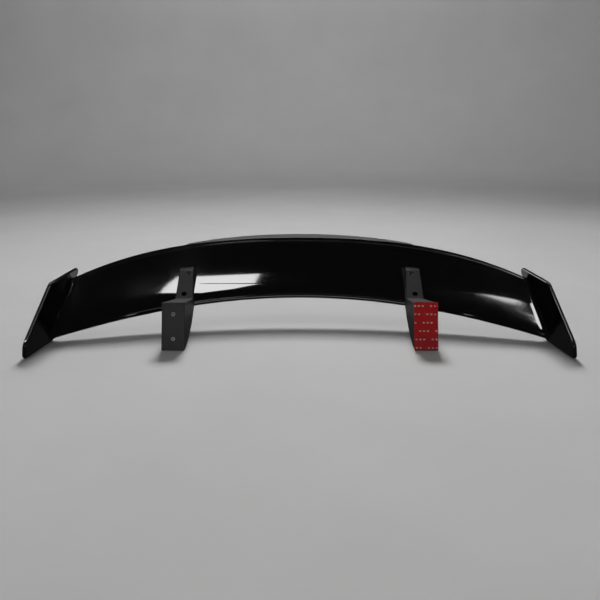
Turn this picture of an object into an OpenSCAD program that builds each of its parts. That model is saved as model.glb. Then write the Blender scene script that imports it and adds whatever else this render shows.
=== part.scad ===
/* [Stance] */
// Lean of the feet from vertical as the wing stands on its leading side
stand_lean = 17.5; // [14:0.5:20]

/* [Blade] */
// Half span of the leading edge, centre to endplate
le_half = 620; // [590:1:640]
// Leading edge behind the toe of the feet, at mid span
le_back = 143; // [138:1:148]
// How far the leading edge sweeps forward towards the ends
le_sweep = 114.5; // [105:0.5:118]
// Trailing edge behind the toe of the feet, at mid span
te_back = 315; // [308:1:322]
// Forward sweep of the trailing edge, square term
te_sweep = 83; // [76:1:90]
// Forward sweep of the trailing edge, fourth power term
te_curl = 45; // [38:1:52]
// Height of the leading edge above the feet, at mid span
blade_height = 225; // [221:1:229]
// Drop of the blade from mid span to the endplates
droop = 165; // [158:1:168]
// Rise of the trailing edge over the leading edge
blade_rise = 65; // [60:1:70]
// Largest thickness of the blade section
blade_thick = 26; // [24:0.5:28]
// Height of the section's camber line
blade_camber = 5; // [3:0.5:6]
// Thickness of the trailing edge
te_thick = 4.5; // [4:0.1:5.5]
// Wall of the moulded skins
wall = 2.5; // [2:0.1:2.8]

/* [Trailing lip] */
// Kick of the lip past the trailing edge, at mid span
lip_kick = 13.2; // [9:0.1:15]
// Where the lip ends, as a share of the half span
lip_end = 0.54; // [0.48:0.01:0.56]
// Thickness of the lip
lip_thick = 3.6; // [3:0.1:4.5]

/* [Endplates] */
// Thickness of an endplate
plate_thick = 9; // [7:0.5:11]
// Toe: how much an endplate closes in per unit towards the rear
plate_toe = 0.2; // [0.18:0.002:0.21]
// Cant: how much an endplate closes in per unit of height
plate_cant = 0.078; // [0.07:0.002:0.11]
// Depth of the nose below the foot plane
nose_drop = 66; // [62:1:70]
// Lowest corner, behind the nose: distance behind the toe of the feet
chin_back = 12.5; // [8:0.5:18]
// Lowest corner: depth below the foot plane
chin_drop = 82; // [78:1:86]
// Height of the top front corner above the foot plane
brow_height = 82; // [80:1:90]
// Lower rear corner: distance behind the toe of the feet
heel_back = 164.3; // [155:0.1:175]
// Lower rear corner: depth below the foot plane
heel_drop = 7; // [3:1:11]
// Upper rear corner: distance behind the toe of the feet
tail_back = 221; // [214:1:228]
// Upper rear corner: height above the foot plane
tail_height = 160; // [154:1:166]
// Rounding of the nose, the brow and the tail
plate_round = 11; // [8:1:13]
// Rounding of the lower rear corner
heel_round = 26; // [20:1:30]
// Rounding of the lowest corner
chin_round = 30; // [24:1:34]

/* [Legs] */
// Inner side of a leg, from the centre plane
leg_inner = 278; // [274:1:282]
// Width of a foot
foot_w = 56; // [52:1:58]
// Length of a foot
foot_len = 117; // [112:1:118]
// Width of the arm beside its front hole
arm_w_front = 42; // [40:1:44]
// Width of the arm at its rear end
arm_w_rear = 35; // [34:1:37]
// Rim around the recessed sole
rim_w = 3; // [2:0.5:4]
// Depth of the recessed sole
rim_deep = 1.2; // [0.8:0.1:1.6]
// Distance between the two threaded inserts of a foot
insert_pitch = 60; // [54:1:64]
// Thickness of the gasket between leg and blade
gasket_thick = 2; // [1.5:0.1:2.5]

/* [Fasteners] */
// Thread of the foot inserts and leg screws
thread_d = 6; // [5:1:6]
// Outside of a foot insert
insert_d = 10; // [9:0.5:11]
// Length of a foot insert
insert_len = 16; // [12:1:20]
// Counterbore of the front arm hole
bore_front_d = 14; // [13.5:0.1:15]
// Counterbore of the rear arm hole
bore_rear_d = 13; // [12.5:0.1:13.5]
// Thread of the endplate screws
plate_screw_d = 5; // [4:0.5:5]

/* [Hidden] */
$fn = 48;

gloss = [0.02, 0.02, 0.022];
matte = [0.17, 0.17, 0.18];
gap = 0.25;          // clearance between neighbouring pieces
span_steps = 36;     // stations along the blade
arc_steps = 14;      // points over the top of the section
seam_front = 0.045;  // lower skin starts here, share of chord
seam_rear = 0.945;   // lower skin ends here, share of chord
chord_ref = 185;     // chord at which the section's heights hold
lip_root = 0.93;     // where the lip starts, as a share of the chord
lip_slope = 0.86;    // rise of the lip's rear face per unit to the rear
rib_depth = 12;      // depth of an end rib along the span
reach = 400;         // longer than any piece that a cut passes through

// ---- points: x across, u rearward from the toe, w up from the foot plane ----
function unit(v) = v / norm(v);
function mix(a, b, k) = a + (b - a) * k;
function steps(n) = [for (i = [0:n]) i / n];

te_u_end = te_back - te_sweep - te_curl;
le_u_end = le_back - le_sweep;
te_half = le_half - plate_toe * (te_u_end - le_u_end) - plate_cant * blade_rise;

function le(t) = [t * le_half, le_back - le_sweep * t * t, blade_height - droop * t * t];
function te(t) = [t * te_half, te_back - te_sweep * t * t - te_curl * pow(t, 4),
                  blade_height + blade_rise - droop * t * t];
function lift(t) = let (c = unit(te(t) - le(t)), v = [-plate_cant * t, 0, 1]) unit(v - (v * c) * c);

// p = [share of chord, height off the chord line at chord_ref]
function on_blade(t, p) =
    le(t) + p[0] * (te(t) - le(t)) + p[1] * norm(te(t) - le(t)) / chord_ref * lift(t);

// ---- blade section ----
function half_thick(c) =
    5 * blade_thick * (0.2969 * sqrt(c) - 0.126 * c - 0.3516 * c * c
                       + 0.2843 * pow(c, 3) - 0.1036 * pow(c, 4)) + te_thick / 2 * c;
function camber(c) = blade_camber * 4 * c * (1 - c);
function face(c, side) = [c, camber(c) + side * half_thick(c)];

// inward offset of point i of a path, by d
function inset(path, i, d) =
    let (a = path[max(i - 1, 0)], b = path[min(i + 1, len(path) - 1)],
         v = unit([(b[0] - a[0]) * chord_ref, b[1] - a[1]]))
    [path[i][0] + v[1] * d / chord_ref, path[i][1] - v[0] * d];

// upper skin: lower seam at the rear, round the trailing edge, over the top, round the nose
upper_rear = [for (c = [seam_rear, 0.972, 1]) face(c, -1)];
upper_top = [for (k = steps(arc_steps)) face(pow(cos(90 * k), 2) * 0.999 + 0.001, 1)];
upper_nose = concat([[0, 0]], [for (c = [0.004, 0.012, 0.026, seam_front]) face(c, -1)]);
upper_path = concat(upper_rear, upper_top, upper_nose);
lower_path = [for (k = steps(arc_steps))
    face(mix(seam_front + gap / chord_ref * 2, seam_rear - gap / chord_ref * 2, (1 - cos(180 * k)) / 2), -1)];

// near the trailing edge the two walls join, so the inner path folds onto the camber line
function folded(p, side, d) =
    let (k = (p[0] - seam_rear) / (1 - seam_rear), c = seam_rear + 0.25 * (p[0] - seam_rear))
    [c, camber(c) + side * mix(half_thick(c) - d, 0.06, k)];
function upper_inner(d) = [for (i = [0:len(upper_path) - 1])
    let (p = upper_path[i])
    p[0] >= seam_rear ? folded(p, i < 3 ? -1 : 1, d) : inset(upper_path, i, -d)];
function lower_inner(d) = [for (i = [0:len(lower_path) - 1]) inset(lower_path, i, -d)];

// ---- building blocks ----
function place(v) = [v[0], -v[1], v[2]];

// wall between two paths with the same number of points, between stations t0 and t1
module skin(outer, inner, t0, t1, n) {
    m = len(outer);
    ring = concat(outer, [for (i = [m - 1:-1:0]) inner[i]]);
    r = 2 * m;
    pts = [for (k = steps(n)) for (p = ring) place(on_blade(mix(t0, t1, k), p))];
    sides = [for (j = [0:n - 1]) for (i = [0:r - 1]) let (a = j * r + i, b = j * r + (i + 1) % r)
        each [[a, b, b + r], [a, b + r, a + r]]];
    caps = [for (i = [0:m - 2]) let (a = i, b = i + 1, c = r - 2 - i, d = r - 1 - i, e = n * r)
        each [[a, d, c], [a, c, b], [e + a, e + c, e + d], [e + a, e + b, e + c]]];
    polyhedron(points = pts, faces = concat(sides, caps), convexity = 8);
}

// solid whose section is the space between a top and a bottom path, both running rearward
module core(top, bottom, t0, t1, n) { skin(bottom, top, t0, t1, n); }

// side 1 draws the right hand piece, side -1 its mirror image on the left
module sided(side) { if (side > 0) children(); else mirror([1, 0, 0]) children(); }

// everything is drawn on its feet, then stood on its leading side
function stood_y(v) = v[1] * sin(stand_lean) + v[2] * cos(stand_lean);
module stood() { translate([0, -(front_y + back_y) / 2, 0]) rotate([-(90 + stand_lean), 0, 0]) children(); }

// ---- endplates ----
toe_deg = atan(plate_toe);
cant_deg = atan(plate_cant * cos(toe_deg));
plate_aft = [-sin(toe_deg), cos(toe_deg), 0];
plate_up = [-sin(cant_deg) * cos(toe_deg), -sin(cant_deg) * sin(toe_deg), cos(cant_deg)];
plate_out = [cos(cant_deg) * cos(toe_deg), cos(cant_deg) * sin(toe_deg), sin(cant_deg)];
function plate_x(u, w) = le(1)[0] - plate_toe * (u - le(1)[1]) - plate_cant * (w - le(1)[2]);
function plate_2d(u, w) = let (v = [plate_x(u, w), u, w] - le(1)) [v * plate_aft, v * plate_up];
// the front edge, nose to brow, lies along the floor
plate_corners = [
    plate_2d(-nose_drop * tan(stand_lean), -nose_drop),
    plate_2d(chin_back, -chin_drop),
    plate_2d(heel_back, -heel_drop),
    plate_2d(tail_back, tail_height),
    plate_2d(brow_height * tan(stand_lean), brow_height)
];
plate_radii = [plate_round, chin_round, heel_round, plate_round, plate_round];

// polygon with corner i rounded by an arc of radius radii[i]
function rounded(c, radii, n = 8) = [for (i = [0:len(c) - 1])
    let (p = c[i], a = unit(c[(i + len(c) - 1) % len(c)] - p), b = unit(c[(i + 1) % len(c)] - p),
         r = radii[i], half = acos(a * b) / 2, mid = p + unit(a + b) * r / sin(half),
         from = atan2(p[1] + a[1] * r / tan(half) - mid[1], p[0] + a[0] * r / tan(half) - mid[0]),
         turn = 180 - 2 * half)
    for (k = steps(n)) mid + r * [cos(from + turn * k), sin(from + turn * k)]];

plate_outline = rounded(plate_corners, plate_radii);
front_y = min([for (p = plate_outline) for (d = [gap, gap + plate_thick])
    stood_y(le(1) + p[0] * plate_aft + p[1] * plate_up + d * plate_out)]);
back_y = max([for (p = lip_section(0)) stood_y(p)]);

module on_plate() {
    translate(place(le(1)) + gap * place(plate_out)) rotate([0, -cant_deg, -toe_deg]) children();
}
plate_screw_c = [0.24, 0.62];   // shares of the chord at which the endplate screws stand
module plate_screw_spots() {
    for (c = plate_screw_c) let (q = on_blade(1, [c, camber(c)]) - le(1))
        translate([0, -(q * plate_aft), q * plate_up]) rotate([0, 90, 0]) children();
}
plate_seat = plate_thick - plate_screw_d * 0.6;   // seat of the screw heads, from the inner face
module endplate(side) {
    color(gloss) stood() sided(side) on_plate() difference() {
        rotate([90, 0, 90]) linear_extrude(plate_thick)
            mirror([1, 0]) polygon(plate_outline);
        plate_screw_spots() {
            translate([0, 0, -1]) cylinder(h = plate_thick + 2, d = plate_screw_d + 0.5);
            translate([0, 0, plate_seat]) cylinder(h = plate_screw_d, d = plate_screw_d * 2 + 0.6);
        }
    }
}
module end_rib(side) {
    t1 = 1 - gap / le_half;
    t0 = 1 - rib_depth / le_half;
    d = wall + gap;
    cs = [for (k = steps(8)) mix(0.09, 0.86, k)];
    color(matte) stood() sided(side) difference() {
        core([for (c = cs) face(c, 1) - [0, d]], [for (c = cs) face(c, -1) + [0, d]], t0, t1, 2);
        on_plate() plate_screw_spots() translate([0, 0, -reach / 2])
            cylinder(h = reach, d = plate_screw_d - 0.8);
    }
}
module endplate_screws(side) {
    color("dimgray") stood() sided(side) on_plate() plate_screw_spots() difference() {
        union() {
            translate([0, 0, -rib_depth * 0.6]) cylinder(h = rib_depth, d = plate_screw_d - 1);
            translate([0, 0, gap]) cylinder(h = plate_seat, d = plate_screw_d);
            translate([0, 0, plate_seat + 0.1]) cylinder(h = plate_screw_d * 0.5, d = plate_screw_d * 2);
        }
        translate([0, 0, plate_seat + 1]) cylinder(h = plate_screw_d, d = 3.4, $fn = 6);
    }
}

// ---- blade ----
leg_t = 0.49;        // station of the legs' centre line
cutter_t = 0.08;     // half width of the leg's blade cutter, as a share of the half span
block_t = 0.045;     // half width of a mount block, as a share of the half span
above = 60;          // clear of the blade's top
hole_c = [0.11, 0.46];
screw_tilt = atan(blade_rise / (te(leg_t)[1] - le(leg_t)[1]));
function under(t, c, d) = on_blade(t, face(c, -1) - [0, d]);

// each child is drawn with its origin on the blade's underside and +Z into the blade
module at_leg_holes(which = [0, 1]) {
    for (i = which) translate(place(under(leg_t, hole_c[i], 0))) rotate([-screw_tilt, 0, 0]) children();
}
module blade_upper_skin() {
    color(gloss) stood() skin(upper_path, upper_inner(wall), -1, 1, span_steps);
}
module blade_lower_skin() {
    color(gloss) stood() difference() {
        skin(lower_path, lower_inner(wall), -1, 1, span_steps);
        for (side = [-1, 1]) sided(side) at_leg_holes()
            translate([0, 0, -wall * 2]) cylinder(h = wall * 5, d = thread_d + 0.6);
    }
}

// ---- trailing lip ----
function lip_size(t) =
    let (a = abs(t) / lip_end) lip_kick * (1 - 0.62 * a * a) * min(1, (1.02 - a) / 0.06);
function lip_section(t) =
    let (s = lip_size(t), rise = s * lip_slope,
         root = on_blade(t, face(lip_root, 1)) + [0, 0, gap], tip = on_blade(t, face(1, 1)) + [0, 0, gap])
    [root, tip, tip + [0, s, rise], tip + [0, s - lip_thick * 0.55, rise + min(s, lip_thick)],
     mix(root, tip, 0.5) + [0, 0, 0.8 + s * 0.36]];
module trailing_lip() {
    n = 30;
    m = 5;
    pts = [for (k = steps(n)) for (p = lip_section(mix(-lip_end, lip_end, k))) place(p)];
    sides = [for (j = [0:n - 1]) for (i = [0:m - 1]) let (a = j * m + i, b = j * m + (i + 1) % m)
        each [[a, b, b + m], [a, b + m, a + m]]];
    caps = [[0, 4, 1], [4, 3, 1], [3, 2, 1]];
    color(gloss) stood() polyhedron(points = pts,
        faces = concat(sides, caps, [for (f = caps) [n * m + f[0], n * m + f[2], n * m + f[1]]]),
        convexity = 4);
}

// ---- legs ----
arm_start = [135, 148];   // rear of the post, where the arm's underside begins: [u, w]
arm_tip = [214, 196];     // rear end of the arm's underside
arm_end = [228, 222];     // top of the arm's sloped end
leg_side = [[0, 0], [9, 28], [24, 60], [44, 97], [66, 130], [88, 156], [109, 176], [118, 200],
            arm_end, arm_tip, arm_start, [foot_len + 4, 40], [foot_len, 0]];
arm_in = 3;               // the arm's inner side, outward of the foot's
leg_top = 250;            // above every part of a leg
leg_front = [[leg_inner, -1], [leg_inner + foot_w, -1], [leg_inner + foot_w, 6],
             [leg_inner + arm_in + arm_w_front, arm_start[1]], [leg_inner + arm_in + arm_w_front, leg_top],
             [leg_inner + 1, leg_top]];
arm_mid = leg_inner + arm_in + arm_w_front / 2;
leg_plan = [[leg_inner - 1, -1], [leg_inner + foot_w + 1, -1], [leg_inner + foot_w + 1, foot_len + 4],
            [arm_mid + arm_w_front / 2, arm_start[0] + 6], [arm_mid + arm_w_rear / 2, arm_end[0] + 1],
            [arm_mid - arm_w_rear / 2, arm_end[0] + 1], [leg_inner + 1, arm_start[0] + 6],
            [leg_inner - 1, foot_len + 4]];
foot_mid = [leg_inner + foot_w / 2, foot_len / 2];

module blade_cutter(d) {
    cs = [for (k = steps(10)) mix(0.03, 0.7, k)];
    low = concat([face(0.03, -1) - [0.12, d]], [for (c = cs) face(c, -1) - [0, d]]);
    core([for (p = low) [p[0], above]], low, leg_t - cutter_t, leg_t + cutter_t, 4);
}
module leg_blank() {
    intersection() {
        translate([leg_inner - 5, 0, 0]) rotate([90, 0, 90]) linear_extrude(foot_w + 10)
            polygon([for (p = leg_side) [-p[0], p[1]]]);
        translate([0, 5, 0]) rotate([90, 0, 0]) linear_extrude(leg_top) polygon(leg_front);
        translate([0, 0, -2]) linear_extrude(leg_top + 10) polygon([for (p = leg_plan) [p[0], -p[1]]]);
    }
}
module sole(inset, z0, h) {
    translate([leg_inner + inset, -foot_len + inset, z0]) cube([foot_w - 2 * inset, foot_len - 2 * inset, h]);
}
module foot_insert_spots() {
    for (k = [-0.5, 0.5]) translate([foot_mid[0], -foot_mid[1] + k * insert_pitch, rim_deep]) children();
}
head_seat = 10;      // screw head seat below the blade's underside
bore_deep = 60;      // counterbores run out through the front of the leg
washer_thick = 1.6;
head_top = head_seat + washer_thick + gap;
module leg(side) {
    color(matte) stood() sided(side) difference() {
        leg_blank();
        blade_cutter(gasket_thick + 2 * gap);
        sole(rim_w, -1, 1 + rim_deep);
        foot_insert_spots() translate([0, 0, -1]) cylinder(h = insert_len + 1.5, d = insert_d + 0.1);
        at_leg_holes() translate([0, 0, -head_seat - 1]) cylinder(h = head_seat + 8, d = thread_d + 0.6);
        at_leg_holes([0]) translate([0, 0, -head_seat - bore_deep]) cylinder(h = bore_deep, d = bore_front_d);
        at_leg_holes([1]) translate([0, 0, -head_seat - bore_deep]) cylinder(h = bore_deep, d = bore_rear_d);
    }
}
module foot_inserts(side) {
    color("silver") stood() sided(side) foot_insert_spots() difference() {
        union() {
            cylinder(h = insert_len, d = insert_d - 1);
            cylinder(h = 2, d = insert_d);
            translate([0, 0, insert_len * 0.45]) cylinder(h = insert_len * 0.2, d = insert_d);
            translate([0, 0, insert_len - 2.5]) cylinder(h = 2.5, d = insert_d);
        }
        translate([0, 0, -1]) cylinder(h = insert_len - 1, d = thread_d - 1);
    }
}
module leg_screws(side) {
    color("black") stood() sided(side) at_leg_holes() difference() {
        union() {
            translate([0, 0, -head_top - 0.1]) cylinder(h = head_top + 10.5, d = thread_d);
            translate([0, 0, -head_top - thread_d]) cylinder(h = thread_d, d = thread_d * 1.65);
        }
        translate([0, 0, -head_top - thread_d - 1]) cylinder(h = 4.5, d = 5.7, $fn = 6);
    }
}
module leg_washers(side) {
    color("silver") stood() sided(side) at_leg_holes() translate([0, 0, 0.1 - head_top]) difference() {
        cylinder(h = washer_thick, d = thread_d * 2);
        translate([0, 0, -1]) cylinder(h = 4, d = thread_d + 0.4);
    }
}
gasket_half = 0.48;  // half the gasket's width, as a share of the arm's
module leg_gasket(side) {
    cs = [for (k = steps(10)) mix(0.04, 0.58, k)];
    half = arm_w_front * gasket_half / le_half;
    color([0.08, 0.08, 0.08]) stood() sided(side) difference() {
        core([for (c = cs) face(c, -1) - [0, gap]], [for (c = cs) face(c, -1) - [0, gap + gasket_thick]],
             leg_t - half, leg_t + half, 3);
        at_leg_holes() translate([0, 0, -8]) cylinder(h = 16, d = thread_d + 1);
    }
}

// ---- inside the blade ----
module mount_block(side) {
    cs = [for (k = steps(10)) mix(0.07, 0.56, k)];
    d = wall + gap;
    color([0.78, 0.78, 0.74]) stood() sided(side) difference() {
        core([for (c = cs) face(c, 1) - [0, d]], [for (c = cs) face(c, -1) + [0, d]],
             leg_t - block_t, leg_t + block_t, 4);
        at_leg_holes() translate([0, 0, wall * 0.5]) cylinder(h = 13, d = insert_d - 0.9);
    }
}
module blade_inserts(side) {
    color("silver") stood() sided(side) at_leg_holes() translate([0, 0, wall + 2 * gap]) difference() {
        cylinder(h = 9, d = insert_d - 1);
        translate([0, 0, -1]) cylinder(h = 12, d = thread_d + 0.02);
    }
}

// ---- foam tape and its liner, right foot only ----
tape_proud = 0.8;
liner_thick = 0.4;
liner_over = 1;      // how far the liner stands past the foot at each side
module right_foot_tape() {
    color("gray") stood() sole(rim_w + 0.5, -tape_proud, tape_proud + rim_deep - 0.1);
}
module right_tape_liner() {
    low = -tape_proud - liner_thick - 0.05;
    color([0.6, 0.02, 0.03]) stood() translate([leg_inner - liner_over, -foot_len - liner_over / 2, low])
        cube([foot_w + 2 * liner_over, foot_len - liner_over / 2, liner_thick]);
}

blade_upper_skin();
blade_lower_skin();
trailing_lip();
endplate(-1);  // left_endplate
endplate(1);  // right_endplate
end_rib(-1);  // left_end_rib
end_rib(1);  // right_end_rib
endplate_screws(-1);  // left_endplate_screws
endplate_screws(1);  // right_endplate_screws
leg(-1);  // left_leg
leg(1);  // right_leg
foot_inserts(-1);  // left_foot_inserts
foot_inserts(1);  // right_foot_inserts
leg_screws(-1);  // left_leg_screws
leg_screws(1);  // right_leg_screws
leg_washers(-1);  // left_leg_washers
leg_washers(1);  // right_leg_washers
leg_gasket(-1);  // left_leg_gasket
leg_gasket(1);  // right_leg_gasket
mount_block(-1);  // left_mount_block
mount_block(1);  // right_mount_block
blade_inserts(-1);  // left_blade_inserts
blade_inserts(1);  // right_blade_inserts
right_foot_tape();
right_tape_liner();
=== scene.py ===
"""Racing rear wing: a gloss arched blade with two endplates and two legs, standing on its leading side."""
import math

import bmesh
import bpy
from mathutils import Matrix, Vector


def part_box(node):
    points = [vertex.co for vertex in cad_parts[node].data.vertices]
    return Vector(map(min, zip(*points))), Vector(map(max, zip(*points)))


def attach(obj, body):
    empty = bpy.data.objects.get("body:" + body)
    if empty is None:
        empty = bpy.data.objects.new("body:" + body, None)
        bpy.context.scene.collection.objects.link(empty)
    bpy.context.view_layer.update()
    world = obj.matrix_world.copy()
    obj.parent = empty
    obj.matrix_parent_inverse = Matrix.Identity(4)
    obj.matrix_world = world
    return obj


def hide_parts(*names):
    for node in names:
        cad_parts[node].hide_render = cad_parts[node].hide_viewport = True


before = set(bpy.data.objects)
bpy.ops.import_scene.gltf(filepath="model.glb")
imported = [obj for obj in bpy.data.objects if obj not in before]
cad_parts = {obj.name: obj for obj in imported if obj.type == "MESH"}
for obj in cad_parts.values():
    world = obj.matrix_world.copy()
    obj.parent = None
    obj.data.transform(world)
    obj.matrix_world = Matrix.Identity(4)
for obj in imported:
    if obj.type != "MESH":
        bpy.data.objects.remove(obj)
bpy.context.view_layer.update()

MM = 0.001
LEAN = math.radians(17.5)
TOE_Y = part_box("left_leg")[0].y      # both feet stand with their toes on this line

# ---- camera: the photograph's viewing angle ----
CAMERA_SIDE = 0.001                  # from the wing's middle
CAMERA_BACK = 1.9                    # from the toes' line
CAMERA_HEIGHT = 0.6
CAMERA_PITCH = math.radians(14)
SENSOR = 36.0
LENS = 49.44


def add_camera():
    data = bpy.data.cameras.new("camera")
    data.lens = LENS
    data.sensor_width = SENSOR
    camera = bpy.data.objects.new("camera", data)
    camera.location = (CAMERA_SIDE, TOE_Y - CAMERA_BACK, CAMERA_HEIGHT)
    camera.rotation_euler = (math.pi / 2 - CAMERA_PITCH, 0, 0)
    bpy.context.scene.collection.objects.link(camera)
    bpy.context.scene.camera = camera


add_camera()

# ---- the wing's dimensions, in millimetres ----
LE_HALF, LE_BACK, LE_SWEEP = 620, 143, 114.5      # leading edge: half span, middle, sweep of its ends
TE_BACK, TE_SWEEP, TE_CURL = 315, 83, 45          # trailing edge: middle, sweep, more of it at the tips
BLADE_HEIGHT, DROOP, BLADE_RISE = 225, 165, 65    # leading edge up, ends' droop, trailing edge above it
BLADE_THICK, BLADE_CAMBER, TE_THICK, WALL = 26, 5, 4.5, 2.5
CHORD_REF = 185                                   # the chord that section heights are given on
SEAM_FRONT, SEAM_REAR = 0.045, 0.945              # shares of the chord
GAP = 0.25                                        # paint or adhesive between neighbours
LIP_KICK, LIP_END, LIP_THICK = 13.2, 0.54, 3.6    # LIP_END is a share of the half span
PLATE_THICK, PLATE_TOE, PLATE_CANT = 9, 0.2, 0.078    # toe and cant are slopes
NOSE_DROP, BROW_HEIGHT = 66, 82      # ends of the front edge, which lies along the floor
CHIN, HEEL, TAIL = (12.5, -82), (164.3, -7), (221, 160)
PLATE_ROUND, CHIN_ROUND, HEEL_ROUND = 11, 30, 26
LEG_INNER, FOOT_W, FOOT_LEN = 278, 56, 117
ARM_W_FRONT, ARM_W_REAR = 42, 35
RIM_W, RIM_DEEP = 3, 1.2
INSERT_PITCH, INSERT_D, INSERT_LEN = 60, 10, 16
THREAD_D, PITCH = 6, 1.0
LEG_T, HOLE_C = 0.49, (0.11, 0.46)   # leg as a share of the half span, its screws as shares of the chord
BORES = (14, 13)                     # counterbores of the front and the rear screw
HEAD_SEAT, WASHER_THICK, GASKET_THICK = 10, 1.6, 2
PLATE_SCREW_D, PLATE_SCREW_C = 5, (0.24, 0.62)        # places as shares of the chord
TAPE_PROUD, LINER_THICK, LINER_OVER = 0.8, 0.4, 1
TE_U_END = TE_BACK - TE_SWEEP - TE_CURL
LE_U_END = LE_BACK - LE_SWEEP
TE_HALF = LE_HALF - PLATE_TOE * (TE_U_END - LE_U_END) - PLATE_CANT * BLADE_RISE

# ---- places: x across, u rearward from the toes, w up from the foot plane, before the wing is stood up ----


def turned_up(v):
    """A direction in the wing's own axes, stood on its leading side."""
    x, u, w = v
    return Vector((x, u * math.sin(LEAN) + w * math.cos(LEAN), u * math.cos(LEAN) - w * math.sin(LEAN)))


def stood(p):
    return turned_up(p) * MM + Vector((0, TOE_Y, 0))


def mix(a, b, k):
    return a + (b - a) * k


def steps(n):
    return [i / n for i in range(n + 1)]


def le(t):
    return Vector((t * LE_HALF, LE_BACK - LE_SWEEP * t * t, BLADE_HEIGHT - DROOP * t * t))


def te(t):
    u = TE_BACK - TE_SWEEP * t * t - TE_CURL * t ** 4
    return Vector((t * TE_HALF, u, BLADE_HEIGHT + BLADE_RISE - DROOP * t * t))


def lift(t):
    c = (te(t) - le(t)).normalized()
    v = Vector((-PLATE_CANT * t, 0, 1))
    return (v - v.dot(c) * c).normalized()


def on_blade(t, p):
    """p = distance along the chord and height off it, both in millimetres on the reference chord."""
    chord = te(t) - le(t)
    return le(t) + p[0] / CHORD_REF * chord + p[1] * chord.length / CHORD_REF * lift(t)


def half_thick(c):
    naca = 0.2969 * math.sqrt(c) - 0.126 * c - 0.3516 * c * c + 0.2843 * c ** 3 - 0.1036 * c ** 4
    return 5 * BLADE_THICK * naca + TE_THICK / 2 * c


def camber(c):
    return BLADE_CAMBER * 4 * c * (1 - c)


def face(c, side, off=0.0):
    """Point on the top (side 1) or underside (side -1) of the section, off millimetres outward."""
    return Vector((c * CHORD_REF, camber(c) + side * (half_thick(c) + off)))


# ---- mesh helpers ----
CORNER_STEPS = 6       # steps round a corner


def new_object(name, verts, faces):
    mesh = bpy.data.meshes.new(name)
    mesh.from_pydata([tuple(v) for v in verts], [], faces)
    bm = bmesh.new()
    bm.from_mesh(mesh)
    bmesh.ops.recalc_face_normals(bm, faces=bm.faces)
    bm.to_mesh(mesh)
    bm.free()
    obj = bpy.data.objects.new(name, mesh)
    bpy.context.scene.collection.objects.link(obj)
    return obj


def loft(name, rings):
    """Closed solid through rings of equal length, capped at both ends."""
    n = len(rings[0])
    verts = [p for ring in rings for p in ring]
    faces = []
    for j in range(len(rings) - 1):
        for i in range(n):
            a, b = j * n + i, j * n + (i + 1) % n
            faces.append((a, b, b + n, a + n))
    last = (len(rings) - 1) * n
    faces.append(tuple(range(n - 1, -1, -1)))
    faces.append(tuple(range(last, last + n)))
    return new_object(name, verts, faces)


def prism(name, outline, near, far):
    """Solid between the outline mapped by near() and by far()."""
    return loft(name, [[near(p) for p in outline], [far(p) for p in outline]])


def round_corner(before, p, after, r, n):
    """The corner p of a polygon as an arc of radius r."""
    a, b = (before - p).normalized(), (after - p).normalized()
    half = math.acos(max(-1, min(1, a.dot(b)))) / 2
    centre = p + (a + b).normalized() * r / math.sin(half)
    start = (p + a * r / math.tan(half) - centre).normalized()
    end = (p + b * r / math.tan(half) - centre).normalized()
    return [centre + start.slerp(end, k) * r for k in steps(n)]


def rounded(points, radii, n=CORNER_STEPS):
    """points with the corners listed in radii = {index: radius} rounded."""
    out = []
    count = len(points)
    for i, p in enumerate(points):
        if i in radii:
            out += round_corner(points[i - 1], p, points[(i + 1) % count], radii[i], n)
        else:
            out.append(p)
    return out


def curve_through(points, n):
    """A smooth path through points, n steps to each span."""
    out = []
    count = len(points)
    for i in range(count - 1):
        p1, p2 = points[i], points[i + 1]
        p0 = points[i - 1] if i else p1 * 2 - p2
        p3 = points[i + 2] if i + 2 < count else p2 * 2 - p1
        for k in steps(n)[:-1]:
            a = -0.5 * p0 + 1.5 * p1 - 1.5 * p2 + 0.5 * p3
            b = p0 - 2.5 * p1 + 2 * p2 - 0.5 * p3
            out.append(a * k ** 3 + b * k ** 2 + (p2 - p0) * 0.5 * k + p1)
    out.append(points[-1])
    return out


def turned(name, profile, segments=64, radius=None):
    """Solid of revolution about Z of a closed (r, z) profile; radius(angle, r, z) may vary r."""
    rings = []
    for i in range(segments):
        angle = 2 * math.pi * i / segments
        ring = []
        for r, z in profile:
            rr = radius(angle, r, z) if radius else r
            ring.append(Vector((rr * math.cos(angle), rr * math.sin(angle), z)) * MM)
        rings.append(ring)
    n = len(profile)
    verts = [p for ring in rings for p in ring]
    faces = []
    for j in range(segments):
        for i in range(n):
            a, b = j * n + i, j * n + (i + 1) % n
            c, d = ((j + 1) % segments) * n + (i + 1) % n, ((j + 1) % segments) * n + i
            faces.append((a, b, c, d))
    obj = new_object(name, verts, faces)
    weld(obj)
    return obj


def weld(obj):
    """Points on the axis become one, and the faces and edges that collapse there go."""
    bm = bmesh.new()
    bm.from_mesh(obj.data)
    bmesh.ops.remove_doubles(bm, verts=bm.verts, dist=1e-7)
    bmesh.ops.dissolve_degenerate(bm, edges=bm.edges, dist=1e-7)
    loose = [e for e in bm.edges if not e.link_faces]
    bmesh.ops.delete(bm, geom=loose, context="EDGES")
    bmesh.ops.recalc_face_normals(bm, faces=bm.faces)
    bm.to_mesh(obj.data)
    bm.free()


def apply_modifiers(obj):
    graph = bpy.context.evaluated_depsgraph_get()
    mesh = bpy.data.meshes.new_from_object(obj.evaluated_get(graph))
    obj.modifiers.clear()
    obj.data = mesh


def cut(obj, tools, how="DIFFERENCE"):
    for tool in tools:
        mod = obj.modifiers.new("cut", "BOOLEAN")
        mod.operation = how
        mod.object = tool
        mod.solver = "EXACT"
    apply_modifiers(obj)
    for tool in tools:
        bpy.data.objects.remove(tool)


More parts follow.
